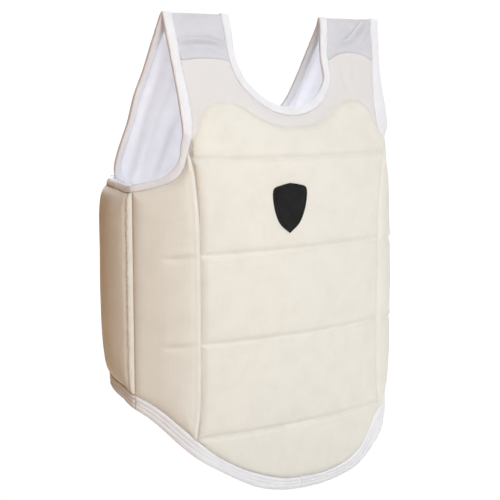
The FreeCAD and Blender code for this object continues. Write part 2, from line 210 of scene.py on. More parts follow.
def cloth(s, t, rise):
    """The whole vest: t is the height up the front, then the length on over the shoulder."""
    s, t, rise = arrays(s, t, rise)
    body = around(s, np.minimum(t, PEAK_Z), CORE + rise)
    drape = drape_surface(s, t - PEAK_Z, rise)
    share = smooth(t, TAB_Z - 6 * MM, TAB_Z + 8 * MM)[..., None]
    return body * (1 - share) + drape * share


def over(z):
    """The t of a height on the yoke, behind the shoulder."""
    return PEAK_Z + (PEAK_Z - z) * math.sqrt(1 + YOKE_SLOPE ** 2)


# --- lines ---

def flowing(points, spacing):
    """A Catmull-Rom curve through points of any dimension, at an even spacing."""
    points = np.array(points, float)
    padded = np.vstack([2 * points[0] - points[1], points, 2 * points[-1] - points[-2]])
    dense = []
    for p0, p1, p2, p3 in zip(padded, padded[1:], padded[2:], padded[3:]):
        t = np.linspace(0, 1, 24, endpoint=False)[:, None]
        dense.append(0.5 * (2 * p1 + (p2 - p0) * t + (2 * p0 - 5 * p1 + 4 * p2 - p3) * t ** 2
                            + (3 * p1 - p0 - 3 * p2 + p3) * t ** 3))
    return evenly(np.vstack(dense + [points[-1:]]), spacing)


def run_along(points):
    """How far along the line each of its points is."""
    steps = np.linalg.norm(np.diff(points, axis=0), axis=1)
    return np.concatenate([[0], np.cumsum(steps)])


def evenly(points, spacing):
    length = run_along(points)
    count = max(2, int(round(length[-1] / spacing)) + 1)
    wanted = np.linspace(0, length[-1], count)
    return np.stack([np.interp(wanted, length, column) for column in points.T], -1)


def table(points):
    """A smooth function through a few (place, value) pairs in millimetres."""
    curve = flowing(np.array(points, float) * MM, 1 * MM)
    return lambda place: np.interp(place, curve[:, 0], curve[:, 1])


def mirrored(points):
    """A half line from x = 0 outward, made whole."""
    points = np.asarray(points, float)
    return np.vstack([points[::-1] * [-1, 1], points[1:]])


# The hem as girth and height in millimetres: it hangs a little lower on the wearer's left.
HEM_EDGE = table([
    (-385, 122), (-300, 121.5), (-264, 119.5), (-235, 115), (-219.7, 112.5), (-205, 105.5), (-187, 92.5),
    (-161, 70.5), (-139, 54.5), (-109, 35.5), (-86, 22), (-59, 8.5), (-24, 0), (3, -2.5), (30, -3.5),
    (60, -2), (89, 2), (104, 6), (121, 14.5), (139, 27), (161, 50), (187, 80), (205, 97.5),
    (219.7, 108.5), (235, 114.5), (264, 118.5), (300, 120), (385, 120)])
HEM_SEAM = table([
    (-385, 138), (-300, 138), (-264, 136.5), (-235, 133), (-219.7, 130.5), (-205, 124), (-187, 114.5),
    (-161, 94.5), (-139, 76.5), (-121, 60.5), (-98, 45), (-74, 32.5), (-30, 16.5), (0, 12.5), (20, 11),
    (42, 11), (62, 13), (80, 16), (89, 19), (107, 28), (122, 43), (139, 67), (161, 92), (187, 115),
    (205, 127.5), (219.7, 133), (235, 135.5), (264, 137.5), (300, 138), (385, 138)])
# How far the front's vertical seam strays from SEAM_X, by height.
SEAM_BEND = table([
    (40, 6), (70, 5), (90, 2.5), (115, -0.5), (140, -1.5), (200, -2), (300, -1.5), (347, 0), (394, 4.5),
    (413, 8.5), (424, 11), (450, 14)])
SEAM_TOP = 424 * MM
# The armhole, from the shoulder fold down: s and t where its tape is sewn, then of its edge.
ARM_STRAP = [(150.5, 580, 163, 580), (149.5, 570, 162.3, 570), (147.5, 548, 160, 548)]
ARM_FRONT = [(145.5, 527, 157.5, 527), (143, 505, 155.5, 505), (141, 480, 154, 480),
             (141, 455, 153.3, 458), (143.5, 440, 153.6, 444)]
ARM_SIDE = [(147.5, 430, 158, 431), (151, 418, 159.5, 420), (155, 406.5, 163, 410.5),
            (161, 395, 169, 402), (170, 387.5, 178, 394), (182, 382.5, 190, 389),
            (199, 377.5, 203.5, 385.5), (219.7, 373.5, 219.7, 382)]
ARM_SWELL = 11 * MM    # the left armhole's edge stands out this much more, round t = 448 mm
ARM_WING = [(232, 373, 232, 381), (245, 373.5, 245, 381.5), (262, 375, 262, 383), (290, 376, 290, 384),
            (330, 376, 330, 384), (366, 376, 366, 384)]


def arm_seam():
    """The cream cover's edge beside the armhole, as (s, z), from the tab down to the wing."""
    rows = np.array(ARM_STRAP[2:] + ARM_FRONT + ARM_SIDE + ARM_WING) * MM
    return flowing(rows[:, :2], 2.5 * MM)


# --- meshes ---

def make_object(name, points, faces, material, flat=0):
    """A mesh object; its last `flat` faces are flat-shaded, so they don't bend the rest."""
    mesh = bpy.data.meshes.new(name)
    mesh.from_pydata([tuple(p) for p in points], [], [tuple(int(k) for k in f) for f in faces])
    mesh.materials.append(material)
    piece = bpy.data.objects.new(name, mesh)
    bpy.context.scene.collection.objects.link(piece)
    shading = [True] * (len(mesh.polygons) - flat) + [False] * flat
    mesh.polygons.foreach_set("use_smooth", shading)
    work = bmesh.new()
    work.from_mesh(mesh)
    bmesh.ops.recalc_face_normals(work, faces=work.faces)
    work.to_mesh(mesh)
    work.free()
    return piece


def segment_distance(points, line):
    """Distance from each point to a polyline, and how far along the polyline it is."""
    best = np.full(len(points), 1e9)
    place = np.zeros(len(points))
    run = 0.0
    for start, end in zip(line[:-1], line[1:]):
        step = end - start
        length = np.linalg.norm(step)
        share = np.clip(((points - start) @ step) / max(length ** 2, 1e-18), 0, 1)
        distance = np.linalg.norm(points - start - share[:, None] * step, axis=1)
        nearer = distance < best
        best[nearer] = distance[nearer]
        place[nearer] = run + share[nearer] * length
        run += length
    return best, place


def inside(points, outline):
    x, z = points[:, 0], points[:, 1]
    hit = np.zeros(len(points), bool)
    for (x0, z0), (x1, z1) in zip(outline, np.roll(outline, -1, axis=0)):
        if z0 != z1:
            crosses = (z0 > z) != (z1 > z)
            hit ^= crosses & (x < x0 + (z - z0) * (x1 - x0) / (z1 - z0))
    return hit


def triangulated(outline, lines=(), step=FINE):
    """A fine, even triangle mesh of a flat panel that follows its outline and its seams."""
    closed = np.vstack([outline, outline[:1]])
    constraints = [evenly(closed, step)] + [evenly(line, step) for line in lines]
    low_corner, high_corner = closed.min(0), closed.max(0)
    rows = np.arange(low_corner[1], high_corner[1], step * 0.866)
    columns = np.arange(low_corner[0], high_corner[0], step)
    grid = np.array([(x + (k % 2) * step / 2, z) for k, z in enumerate(rows) for x in columns])
    grid = grid[inside(grid, outline)]
    for line in constraints:
        grid = grid[segment_distance(grid, line)[0] > step * 0.55]
    points, edges = [], []
    for line in constraints:
        first = len(points)
        points += [Vector(p) for p in line]
        edges += [(first + k, first + k + 1) for k in range(len(line) - 1)]
    points += [Vector(p) for p in grid]
    verts, _, faces, *_ = geometry.delaunay_2d_cdt(points, edges, [], 1, 1e-6)
    return np.array([tuple(v) for v in verts]), np.array([tuple(f) for f in faces])


def shell(name, flat, faces, surface, outer, inner, material):
    """A closed sheet: its outer and inner faces are lifts above the same flat mesh."""
    count = len(flat)
    points = np.vstack([surface(flat[:, 0], flat[:, 1], outer),
                        surface(flat[:, 0], flat[:, 1], inner)])
    directed = np.vstack([faces[:, [0, 1]], faces[:, [1, 2]], faces[:, [2, 0]]])
    seen = set(map(tuple, directed))
    rim = [e for e in directed if (e[1], e[0]) not in seen]
    skins = [list(f) for f in faces] + [list(f + count) for f in faces[:, ::-1]]
    skins += [[b, a, a + count, b + count] for a, b in rim]
    return make_object(name, points, skins, material)


def wobble(points, scale, seed):
    """Smooth noise at each point; scale is a wave's length in each direction."""
    scaled = np.atleast_2d(points) / np.asarray(scale, float)
    return np.array([noise.noise(Vector((p[0], p[1], seed))) for p in scaled])


def rounded(rail, where):
    """A rail with its kinks eased, where asked, by running averages."""
    for _ in range(8):
        eased = rail.copy()
        eased[1:-1] = (rail[:-2] + 2 * rail[1:-1] + rail[2:]) / 4
        rail = np.where(where[:, None], eased, rail)
    return rail


def tape_rings(stations, half, ridges, seed):
    """Cross-sections of a binding folded over an edge, along (s, t) pairs of rails."""
    seam_rail = cloth(stations[:, 0], stations[:, 1], 0.0)
    edge_rail = cloth(stations[:, 2], stations[:, 3], 0.0)
    up = cloth(stations[:, 2], stations[:, 3], 1 * MM) - edge_rail
    low_part = np.maximum(stations[:, 1], stations[:, 3]) < TAB_Z - 15 * MM
    seam_rail, edge_rail, up = (rounded(rail, low_part) for rail in (seam_rail, edge_rail, up))
    up = unit(up)
    across = [(0.0, 0.2), (0.015, 0.7), (0.05, 0.98)]
    count = 5 * (ridges + 1)
    for k in range(1, count):
        crest = abs(math.sin(math.pi * (ridges + 1) * k / count))
        across.append((0.05 + 0.80 * k / count, 0.92 + 0.26 * crest))
    across += [(0.87, 1.0), (0.94, 0.85), (0.985, 0.48), (1.0, 0.0)]
    profile = across + [(share, -height) for share, height in reversed(across[:-1])]
    width = edge_rail - seam_rail
    run = run_along(edge_rail)
    rings = []
    for share, height in profile:
        where = np.stack([run, np.full_like(run, share * 20 * MM)], -1)
        pucker = wobble(where, (6 * MM, 9 * MM), seed)
        swell = half * height * (1 + 0.2 * pucker)
        rings.append(seam_rail + width * share + up * swell[:, None])
    return np.stack(rings, 1)


def tape_piece(name, rings, material, tuck=False):
    """A tape through its cross-sections; its end may be tucked into the piece that follows."""
    if tuck:
        middle = rings[-1].mean(axis=0)
        rings = np.concatenate([rings[:-1], [middle + (rings[-1] - middle) * 0.8]])
    total, loop = rings.shape[:2]
    flat = 2 + loop if tuck else 2
    faces = []
    for i in range(total - 1):
        for k in range(loop):
            n = (k + 1) % loop
            faces.append((i * loop + k, i * loop + n, (i + 1) * loop + n, (i + 1) * loop + k))
    faces.append(tuple(range(loop)))
    faces.append(tuple((total - 1) * loop + k for k in range(loop)))
    return make_object(name, rings.reshape(-1, 3), faces, material, flat)


def stitches(name, points, outs, spacing, length, thick, slant=0.0):
    """A row of short raised threads along a line that lies on the cloth."""
    run = run_along(points)
    places = np.arange(spacing, run[-1] - spacing, spacing)
    at = lambda values, where: np.stack([np.interp(where, run, column) for column in values.T], -1)
    centres, out = at(points, places), unit(at(outs, places))
    tangent = unit(at(points, places + 0.5 * MM) - centres)
    across = np.cross(out, tangent)
    along = tangent * math.cos(slant) + across * math.sin(slant)
    across = np.cross(out, along)
    verts, faces = [], []
    for centre, ahead, beside, up in zip(centres, along, across, out):
        first = len(verts)
        verts += [centre + ahead * length * reach + (beside * dw + up * do) * thick * swell
                  for reach, swell in ((-0.5, 0.35), (-0.25, 1.0), (0.25, 1.0), (0.5, 0.35))
                  for dw, do in ((-1, 0), (0, 1), (1, 0), (0, -1))]
        for k in range(4):
            n = (k + 1) % 4
            faces += [[first + row + m for m in (k, n, 4 + n, 4 + k)] for row in (0, 4, 8)]
        faces += [range(first, first + 4), range(first + 12, first + 16)]
    return make_object(name, verts, faces, THREAD)


def stitch_row(name, stations, share, half):
    """Stitches along a tape, at a share of the way from its sewn side to its edge."""
    mid = stations[:, :2] * (1 - share) + stations[:, 2:] * share
    points = cloth(mid[:, 0], mid[:, 1], half)
    outs = points - cloth(mid[:, 0], mid[:, 1], 0.0)
    return stitches(name, points, outs, spacing=3.6 * MM, length=2.4 * MM, thick=0.35 * MM)


# --- materials ---

PALE_TONE_AND_SHADE = (0.71, 0.705, 0.71)    # the unpadded cloth round the padding: whiter and less yellow than the cream, and darkened with painted shade where it leans back under the key light


def add_node(tree, kind, **values):
    """A new shader node; a value sets the input of that name, or else the node's setting."""
    made = tree.nodes.new(f"ShaderNode{kind}")
    for key, value in values.items():
        if key.replace("_", " ") in made.inputs:
            made.inputs[key.replace("_", " ")].default_value = value
        else:
            setattr(made, key, value)
    return made


def mixed_colour(tree, share, first, second):
    """The first colour turning into the second as the share goes from 0 to 1."""
    mix = add_node(tree, "Mix", data_type="RGBA")
    tree.links.new(share, mix.inputs[0])
    for socket, colour in ((mix.inputs[6], first), (mix.inputs[7], second)):
        if isinstance(colour, tuple):
            socket.default_value = (*colour, 1)
        else:
            tree.links.new(colour, socket)
    return mix.outputs[2]


def show_mix(tree, share, first, second, output):
    """Sends a mix of two shaders to the output; share is a number or a socket."""
    mix = add_node(tree, "MixShader")
    if isinstance(share, float):
        mix.inputs[0].default_value = share
    else:
        tree.links.new(share, mix.inputs[0])
    tree.links.new(first, mix.inputs[1])
    tree.links.new(second, mix.inputs[2])
    tree.links.new(mix.outputs[0], tree.nodes[output].inputs["Surface"])


def add_relief(tree, height, shader, **values):
    relief = add_node(tree, "Bump", **values)
    tree.links.new(height, relief.inputs["Height"])
    tree.links.new(relief.outputs["Normal"], shader.inputs["Normal"])


def cloth_material(name, colour, shade, weave=0.55 * MM, bump=0.25, rough=0.86, sheen=0.3,
                   threads="XYZ", thin=0.0):
    """Woven cloth: crossed threads, a faint mottle, a soft sheen; thin lets light through."""
    material = bpy.data.materials.new(name)
    material.use_nodes = True
    tree = material.node_tree
    shader = tree.nodes["Principled BSDF"]
    for socket, value in (("Roughness", rough), ("Sheen Weight", sheen), ("Sheen Roughness", 0.6),
                          ("Specular IOR Level", 0.15)):
        shader.inputs[socket].default_value = value
    where = add_node(tree, "TexCoord").outputs["Object"]
    mottle = add_node(tree, "TexNoise", Scale=38.0, Detail=5.0, Roughness=0.6)
    fibre = add_node(tree, "TexNoise", Scale=900.0, Detail=2.0)
    stretch = add_node(tree, "MapRange", From_Min=0.42, From_Max=0.75)
    tree.links.new(where, mottle.inputs["Vector"])
    tree.links.new(where, fibre.inputs["Vector"])
    tree.links.new(mottle.outputs["Fac"], stretch.inputs[0])
    mottled = mixed_colour(tree, stretch.outputs[0], colour, shade)
    # painted shade: where a mesh marks its unpadded zone, the cloth takes the unpadded colour, which is
    # greyer than the cream and darkened by painted shade
    tone_and_shade_zone = add_node(tree, "Attribute", attribute_name="pale")
    shown = mixed_colour(tree, tone_and_shade_zone.outputs["Fac"], mottled, PALE_TONE_AND_SHADE)
    tree.links.new(shown, shader.inputs["Base Color"])
    height = fibre.outputs["Fac"]
    for axis in threads:
        wave = add_node(tree, "TexWave", bands_direction=axis, Distortion=0.6, Scale=0.157 / weave,
                        Detail_Scale=2.0)
        tree.links.new(where, wave.inputs["Vector"])
        total = add_node(tree, "Math", operation="ADD")
        tree.links.new(height, total.inputs[0])
        tree.links.new(wave.outputs["Fac"], total.inputs[1])
        height = total.outputs[0]
    add_relief(tree, height, shader, Strength=bump, Distance=0.4 * MM)
    if thin:
        glow = add_node(tree, "BsdfTranslucent")
        tree.links.new(shown, glow.inputs["Color"])
        show_mix(tree, thin, shader.outputs[0], glow.outputs[0], "Material Output")
    return material


CREAM = cloth_material("cream_canvas", (0.775, 0.765, 0.715), (0.735, 0.722, 0.665), bump=0.18)
WHITE = cloth_material("white_binding", (0.81, 0.83, 0.88), (0.75, 0.77, 0.83), weave=0.45 * MM)
# painted shade: the strap's white cloth is made much darker than the yoke's, because the strap leans
# back into the key light
STRAP_WITH_PAINTED_SHADE = cloth_material("white_strap_cloth_painted_shade", (0.64, 0.65, 0.70), (0.58, 0.59, 0.65), weave=0.5 * MM)
LINING = cloth_material("white_lining", (0.84, 0.86, 0.90), (0.79, 0.81, 0.86), weave=0.40 * MM,
                        bump=0.15)
YOKE_CLOTH = cloth_material("white_yoke_cloth", (0.88, 0.90, 0.95), (0.84, 0.86, 0.91),
                            weave=0.40 * MM, bump=0.15, thin=0.68)
ELASTIC = cloth_material("ribbed_elastic", (0.84, 0.84, 0.84), (0.76, 0.76, 0.77), weave=1.1 * MM,
                         bump=0.8, threads="Z")
LOOP = cloth_material("loop_pile", (0.80, 0.80, 0.80), (0.70, 0.70, 0.71), weave=0.9 * MM, bump=1.0,
                      rough=0.95, sheen=0.6)
HOOK = cloth_material("hook_tape", (0.78, 0.78, 0.79), (0.70, 0.70, 0.71), weave=1.2 * MM, bump=1.0,
                      rough=0.6, sheen=0.1)
THREAD = cloth_material("sewing_thread", (0.78, 0.75, 0.68), (0.70, 0.67, 0.60), weave=0.3 * MM)
BLACK = cloth_material("black_embroidery", (0.008, 0.008, 0.009), (0.02, 0.02, 0.022),
                       weave=0.7 * MM, bump=0.9, rough=0.6, sheen=0.03)


def stand_in(piece, slot, *nodes):
    """Hides these CAD parts, whose place the piece takes; the piece and the slot are not used."""
    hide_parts(*nodes)


# --- padding profiles ---

def puffed(distance, steep, depth, crown=0.0, wide=45 * MM):
    """Height above a seam's bottom: a rounded shoulder, then a slow crown."""
    return depth * (1 - np.exp(-(distance / steep) ** 1.25)) + crown * (1 - peak(distance, wide))


def puckers(flat, line, reach, length, seed):
    """Small gathers at right angles to a seam that fade out away from it."""
    distance, place = segment_distance(flat, line)
    waves = wobble(np.stack([place, distance * 0.3], -1), (length, length), seed)
    return waves * np.exp(-distance / reach)


def crease(flat, points, width, height):
    """A soft raised fold (or a hollow, if height is negative) along a line."""
    line = flowing(np.array(points) * MM, 3 * MM)
    distance, place = segment_distance(flat, line)
    ends = np.sin(np.pi * np.clip(place / place.max(), 0.02, 0.98)) ** 0.6
    return height * MM * ends * peak(distance, width * MM)


def rim_distance(flat, outline):
    return segment_distance(flat, np.vstack([outline, outline[:1]]))[0]


# --- the front ---

NECK_R, NECK_Z = 69.6 * MM, 472 * MM
NECK_STRIP = 10 * MM
NECK_TURN = math.radians(63)
NECK_SHIFT = 4.5 * MM    # the opening leans this much to the wearer's right, just above the tabs
# The strap's lower edge lies over the tab, in an arch: the height of its ends, and its rise.
CUFF = {LEFT: (528.5 * MM, 6.5 * MM), RIGHT: (526.5 * MM, 2 * MM)}
TAB_TOP = {LEFT: 545 * MM, RIGHT: 536 * MM}
YOKE_NECK = [(0.0695, PEAK_Z), (0.0735, over(0.566)), (0.0745, over(0.540)), (0.0740, over(0.500)),
             (0.0700, over(0.472)), (0.056, over(0.453)), (0.030, over(0.442)), (0.0, over(0.439))]


def neck_stations():
    """Rails of the neck tape from the left shoulder fold round under the neck to the right."""
    angles = np.linspace(NECK_TURN, 0, 9)
    rows = [(0.0805, PEAK_Z, 0.0695, PEAK_Z), (0.0797, PEAK_Z - 12 * MM, 0.0688, PEAK_Z - 12 * MM),
            (0.0775, 0.552, 0.067, 0.552), (0.0755, TAB_Z, 0.0652, TAB_Z)]
    for angle in angles:
        r_in, r_out = NECK_R, NECK_R + NECK_STRIP
        rows.append((r_out * math.sin(angle), NECK_Z + NECK_R - r_out * math.cos(angle),
                     r_in * math.sin(angle), NECK_Z + NECK_R - r_in * math.cos(angle)))
    rows = np.array(rows)
    half = flowing(rows, 2.5 * MM)
    whole = np.vstack([half, half[-2::-1] * [-1, 1, -1, 1]])
    whole[:, [0, 2]] -= NECK_SHIFT * peak(whole[:, [1]] - 532 * MM, 26 * MM)
    return whole


def hump_line():
    half = np.array([(0, 450), (28, 452.5), (53, 462), (72, 474), (94, 480.5), (116, 477),
                     (131, 464), (139, 446), (143, 438)]) * MM
    return flowing(mirrored(half), 4 * MM)


def front_outline():
    s = np.linspace(-(SEAM_X + 3 * MM), SEAM_X + 3 * MM, 90)
    bottom = np.stack([s, HEM_SEAM(s)], -1)
    left_z, right_z = (np.linspace(end, SEAM_TOP, 60)[1:] for end in (bottom[-1, 1], bottom[0, 1]))
    left_edge = np.stack([SEAM_X + SEAM_BEND(left_z), left_z], -1)
    right_edge = np.stack([-SEAM_X - SEAM_BEND(right_z), right_z], -1)
    arm = arm_seam()
    arm = arm[arm[:, 1] > SEAM_TOP + 1 * MM][::-1]
    left_arm, right_arm = (arm[arm[:, 1] < TAB_TOP[side]] for side in (LEFT, RIGHT))
    neck = neck_stations()[:, :2]
    neck = neck[neck[:, 1] < np.where(neck[:, 0] > 0, TAB_TOP[LEFT], TAB_TOP[RIGHT])]
    right_arm = right_arm[::-1] * [-1, 1]
    return np.vstack([bottom, left_edge, left_arm, neck, right_arm, right_edge[::-1]]), bottom


def quilt_pair(part, ending, flat, faces, outer, inner, pads):
    """The cover with its padding, and the lining, over one flat mesh in (s, z)."""
    cover = shell(f"{part}_quilt{ending}", flat, faces, around, outer, CORE + 0.1 * MM, CREAM)
    stand_in(cover, "cover", f"{part}_cover{ending}", *pads)
    lining = shell(f"{part}_lining_quilt{ending}", flat, faces, around, CORE - 0.1 * MM, inner, LINING)
    stand_in(lining, "lining", f"{part}_lining{ending}")
    return [cover, lining]


def lining_puff(nearest, steep=7 * MM):
    return CORE - WEB - (THICK - DITCH - 2 * WEB) * (1 - np.exp(-(nearest / steep) ** 1.3))


def build_front():
    outline, bottom = front_outline()
    seams = []
    for number, z in enumerate(QUILT_Z):
        reach = SEAM_X + SEAM_BEND(z)
        x = np.linspace(-reach, reach, 60)
        sag = 0.8 * MM * np.cos(np.pi * x / (2 * reach)) * (1 if number % 2 else -1)
        seams.append(np.stack([x, z + sag], -1))
    hump = hump_line()
    flat, faces = triangulated(outline, seams + [hump])
    flank = np.array([(145 * MM, QUILT_Z[0]), (145 * MM, 100 * MM)])
    padded = inside(flat, np.vstack([bottom, flank[::-1], hump[::-1], flank * [-1, 1]]))
    to_rim = rim_distance(flat, outline)
    to_seam = np.min([segment_distance(flat, line)[0] for line in seams], 0)
    to_hump, _ = segment_distance(flat, hump)
    nearest = np.minimum(np.minimum(to_rim, to_seam), to_hump)
    quilted = puffed(nearest, steep=3.6 * MM, depth=DITCH, crown=1.3 * MM)
    plain = puffed(nearest, steep=3 * MM, depth=1.2 * MM)
    outer = np.where(padded, quilted, plain) - DITCH
    for number, line in enumerate(seams):
        beyond, _ = segment_distance(flat, line - [0, 4.2 * MM])
        outer += 1.3 * MM * peak(beyond, 2.0 * MM) * np.clip(to_rim / (8 * MM), 0, 1)
        gathers = puckers(flat, line, reach=7 * MM, length=11 * MM, seed=3.1 + number)
        outer += 0.55 * MM * gathers * (to_rim > 1.5 * MM)
    outer += 0.35 * MM * puckers(flat, hump, reach=5 * MM, length=9 * MM, seed=9.7)
    outer -= 0.7 * MM * peak(to_hump, 1.6 * MM)
    for s in (-1, 1):
        for z in QUILT_Z[1:]:
            pull = [(s * 137, z / MM + 2), (s * 120, z / MM + 6), (s * 100, z / MM + 8)]
            outer += crease(flat, pull, width=5, height=-0.7)
    outer += 0.7 * MM * wobble(flat, (75 * MM, 60 * MM), 1.7) * np.clip(nearest / (15 * MM), 0, 1)
    tab = smooth(flat[:, 1], 485 * MM, 520 * MM)
    outer += 0.8 * MM * tab * wobble(flat, (30 * MM, 22 * MM), 6.6)
    outer += crease(flat, [(96, 527), (93, 510), (95, 494)], width=5, height=-1.6)
    outer += crease(flat, [(104, 524), (102, 510), (106, 494)], width=5, height=1.3)
    inner = np.where(padded, lining_puff(nearest, 6 * MM), CORE - WEB)
    inner += 0.6 * MM * wobble(flat, (40 * MM, 30 * MM), 5.2) * np.clip(nearest / (10 * MM), 0, 1)
    cover, lining = quilt_pair("front", "", flat, faces, outer, inner, PADS)
    # the unpadded zone is marked for its greyer tone and for the painted shade that darkens it; the hump
    # seam is half marked
    pale = cover.data.attributes.new("pale", "FLOAT", "POINT")
    paleness = np.where(padded, 0.0, 1.0)
    paleness[to_hump < 0.5 * MM] = 0.5
    pale.data.foreach_set("value", np.tile(paleness, 2))
    for piece in (cover, lining):
        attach(piece, "front")


# --- the sides and wings ---

def side_blend(piece, label, side):
    """Bakes the piece's placement into its mesh; the points at the seam and 25 mm behind it are found
    but not used.
    """
    start = around(side * SEAM_X, QUILT_Z[2], CORE)
    end = around(side * (SEAM_X + 25 * MM), QUILT_Z[2], CORE)
    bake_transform(piece)


def wing_blend(piece, label, side):
    """Bakes the piece's placement into its mesh; the point at the fold and the way on from it are found
    but not used.
    """
    start = around(side * (FOLD_S + 0.01 * MM), QUILT_Z[2], CORE)
    ahead = unit(around(side * (FOLD_S + 1 * MM), QUILT_Z[2], CORE) - start)
    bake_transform(piece)


def build_side(label, side):
    z = np.linspace(SEAM_TOP, HEM_SEAM(side * (SEAM_X + 3 * MM)), 60)
    front_edge = np.stack([SEAM_X + SEAM_BEND(z), z], -1)
    s = np.linspace(SEAM_X + 3 * MM, FOLD_S, 34)[1:]
    bottom = np.stack([s, HEM_SEAM(side * s)], -1)
    arm = arm_seam()
    arm = arm[(arm[:, 1] < SEAM_TOP - 1 * MM) & (arm[:, 0] < FOLD_S - 1 * MM)]
    top_fold = np.array([(FOLD_S, 373.5 * MM)])
    outline = np.vstack([front_edge, bottom, top_fold, arm[::-1]])
    flat, faces = triangulated(outline)
    nearest = rim_distance(flat, outline)
    to_front, _ = segment_distance(flat, front_edge)
    fold_edge = np.array([(FOLD_S, 137 * MM), (FOLD_S, 374 * MM)])
    outer = puffed(nearest, steep=5.5 * MM, depth=DITCH, crown=1.5 * MM, wide=30 * MM) - DITCH
    outer += 1.9 * MM * peak(to_front - 2.8 * MM, 1.7 * MM)
    gathers = puckers(flat, front_edge, reach=9 * MM, length=13 * MM, seed=6.0 + side)
    gathers += puckers(flat, fold_edge, reach=9 * MM, length=14 * MM, seed=8.0 + side)
    outer += 0.5 * MM * gathers * (nearest > 1 * MM)
    for z in QUILT_Z[1:3]:
        pull = [(142, z / MM + 1), (158, z / MM - 3), (182, z / MM - 5)]
        outer += crease(flat, pull, width=3.4, height=-2.8)
        outer += crease(flat, np.array(pull) + [0, 7], width=5, height=0.9)
    uneven = wobble(flat, (45 * MM, 70 * MM), 2.3 + side)
    outer += 0.8 * MM * uneven * np.clip(nearest / (15 * MM), 0, 1)
    inner, pads = lining_puff(nearest), [f"side_pad_{label}"]
    for piece in quilt_pair("side", f"_{label}", flat * [side, 1], faces, outer, inner, pads):
        side_blend(piece, label, side)


def build_wing(label, side):
    s = np.linspace(FOLD_S, FOLD_S + WING_SEAM_END, 40)
    bottom = np.stack([s, HEM_SEAM(side * s)], -1)
    arm = arm_seam()
    top = np.stack([s[::-1], np.interp(s[::-1], arm[:, 0], arm[:, 1])], -1)
    outline = np.vstack([bottom, top])
    flat, faces = triangulated(outline)
    nearest = rim_distance(flat, outline)
    fold_edge = np.array([bottom[0], top[-1]])
    to_fold, _ = segment_distance(flat, fold_edge)
    outer = puffed(nearest, steep=6 * MM, depth=DITCH, crown=1.0 * MM, wide=30 * MM) - DITCH
    outer += 1.7 * MM * peak(to_fold - FOLD_RIDGE, 2.0 * MM)
    outer -= 1.0 * MM * peak(to_fold - 9.0 * MM, 2.2 * MM)
    gathers = puckers(flat, fold_edge, reach=9 * MM, length=6 * MM, seed=18.0 + side)
    outer += 1.3 * MM * gathers * (nearest > 1 * MM)
    uneven = wobble(flat, (50 * MM, 70 * MM), 12.3 + side)
    outer += 0.9 * MM * uneven * np.clip(nearest / (15 * MM), 0, 1)
    inner, pads = lining_puff(nearest), [f"wing_pad_{label}"]
    pieces = quilt_pair("wing", f"_{label}", flat * [side, 1], faces, outer, inner, pads)
    z = np.linspace(HEM_EDGE(side * s[-1]), ARM_WING[-1][3] * MM, 90)
    rear_s = FOLD_S + WING_SEAM_END
    stations = np.stack([np.full_like(z, rear_s - 1 * MM), z, np.full_like(z, rear_s + 10 * MM), z], -1)
    rings = tape_rings(stations * [side, 1, side, 1], half=3.4 * MM, ridges=1, seed=25.0 + side)
    rear = tape_piece(f"wing_end_tape_{label}", rings, WHITE)
    stand_in(rear, "binding", f"wing_end_binding_{label}")
    z = np.linspace(bottom[0, 1] + 2 * MM, top[-1, 1] - 2 * MM, 60)
    line = around(side * (FOLD_S + FOLD_RIDGE), z, 0.6 * MM)
    outs = line - around(side * (FOLD_S + FOLD_RIDGE), z, -2 * MM)
    thread = stitches(f"fold_stitches_{label}", line, outs, spacing=4.0 * MM, length=3.2 * MM,
                      thick=0.45 * MM, slant=side * 0.9)
    for piece in pieces + [rear, thread]:
        wing_blend(piece, label, side)


# --- bindings ---

def taped(name, label, rings, stations, stretch, stitching, nodes):
    """A stretch of tape, its end tucked into the tape that follows, and its row of stitches."""
    first, last = stretch
    strip = tape_piece(f"{name}_{label}", rings[first:last + 2], WHITE, tuck=last + 2 <= len(rings))
    stand_in(strip, "binding", *nodes)
    thread = stitch_row(f"{name}_stitches_{label}", stations[first:last + 1], *stitching)
    return strip, thread


def build_hem():
    """One hem tape all round, cut at the fold seams and at the middle of the front."""
    end = FOLD_S + WING_SEAM_END
    cuts = [-end, -FOLD_S, 0, FOLD_S, end]
    s, marks = [np.array([-end])], [0]
    for start, stop in zip(cuts, cuts[1:]):
        count = int(round((stop - start) / (3 * MM)))
        s.append(np.linspace(start, stop, count + 1)[1:])
        marks.append(marks[-1] + count)
    s = np.concatenate(s)
    stations = np.stack([s, HEM_SEAM(s), s, HEM_EDGE(s)], -1)
    rings = tape_rings(stations, half=3.0 * MM, ridges=2, seed=2.0)
    wing = ("wing_hem_tape", wing_blend, ["wing_hem_binding_"])
    body = ("hem_tape", side_blend, ["front_hem_binding", "side_hem_binding_"])
    stretches = zip(("right", "right", "left", "left"), (wing, body, body, wing), zip(marks, marks[1:]))
    for label, (name, blend, nodes), stretch in stretches:
        nodes = [node + label if node.endswith("_") else node for node in nodes]
        for piece in taped(name, label, rings, stations, stretch, (0.36, 2.9 * MM), nodes):
            blend(piece, label, dict(SIDES)[label])


def yoke_edge():
    """The yoke's outline as (s, t) from the left shoulder fold down, in along the hem to x = 0."""
    heights = [(163, 580), (163.5, 540), (164, 510), (166.5, 482), (164.5, 450), (166, 420),
               (165.5, 400), (161, 385), (150, 374), (136, 365), (122, 357), (106, YOKE_LOW / MM + 1)]
    heights += [(x, YOKE_LOW / MM) for x in (80, 40, 0)]
    return flowing([(x * MM, over(z * MM)) for x, z in heights], 2.5 * MM)


def inset_line(line, amount):
    """A line moved sideways in its own plane, to the side of the yoke's middle."""
    tangent = unit(np.gradient(line, axis=0))
    return line + np.stack([-tangent[:, 1], tangent[:, 0]], -1) * amount


def yoke_blend(piece, *_):
    """Bakes the piece's placement into its mesh."""
    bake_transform(piece)


def armhole_blend(piece, label, _):
    """Bakes the piece's placement into its mesh."""
    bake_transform(piece)


